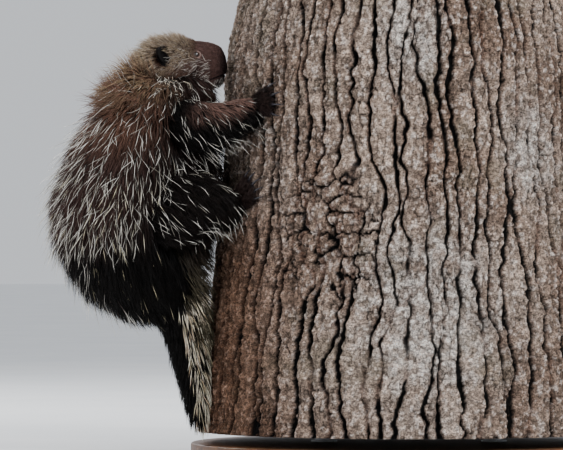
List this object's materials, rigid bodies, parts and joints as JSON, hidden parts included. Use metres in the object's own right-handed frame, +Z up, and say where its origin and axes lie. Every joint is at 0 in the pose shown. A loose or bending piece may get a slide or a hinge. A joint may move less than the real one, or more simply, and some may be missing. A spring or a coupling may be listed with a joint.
{
  "type": "porcupine",
  "caption": "Life-size North American porcupine clinging to a cut length of tree trunk, with long guard hairs, quills and a hanging tail, on a round display stand",
  "frame": {"origin": "middle of the underside of the stand's round board, below the trunk's axis", "axes": "+Z up along the trunk, +X from the animal's back towards the trunk, -Y towards the viewer of the animal's right side"},
  "size_m": [1.0347, 0.77, 0.823],
  "materials": {
    "bark": "rough, furrowed bark in reddish brown and grey",
    "stand_board": "dark stained wood, satin",
    "stand_steel": "brushed rods",
    "coat": "long brown-black guard hair with cream tips",
    "quills": "stiff quills, cream with dark tips",
    "face_fur": "short dark brown fur",
    "paw_skin": "dark velvety paws with long horn claws",
    "eye_gloss": "wet black eye"
  },
  "bodies": {
    "root": {"tree_trunk": "bark", "stand_base": "stand_board", "stand_rod_left": "stand_steel", "stand_rod_right": "stand_steel", "head": "face_fur", "neck": "coat", "torso": "coat", "tail": "quills", "foreleg_right": "coat", "foreleg_left": "coat", "hindleg_right": "coat", "hindleg_left": "coat", "forepaw_right": "paw_skin", "forepaw_left": "paw_skin", "hindfoot_right": "paw_skin", "hindfoot_left": "paw_skin", "ear_right": "face_fur", "ear_left": "face_fur", "eye_right": "eye_gloss", "eye_left": "eye_gloss"}
  },
  "joints": []
}
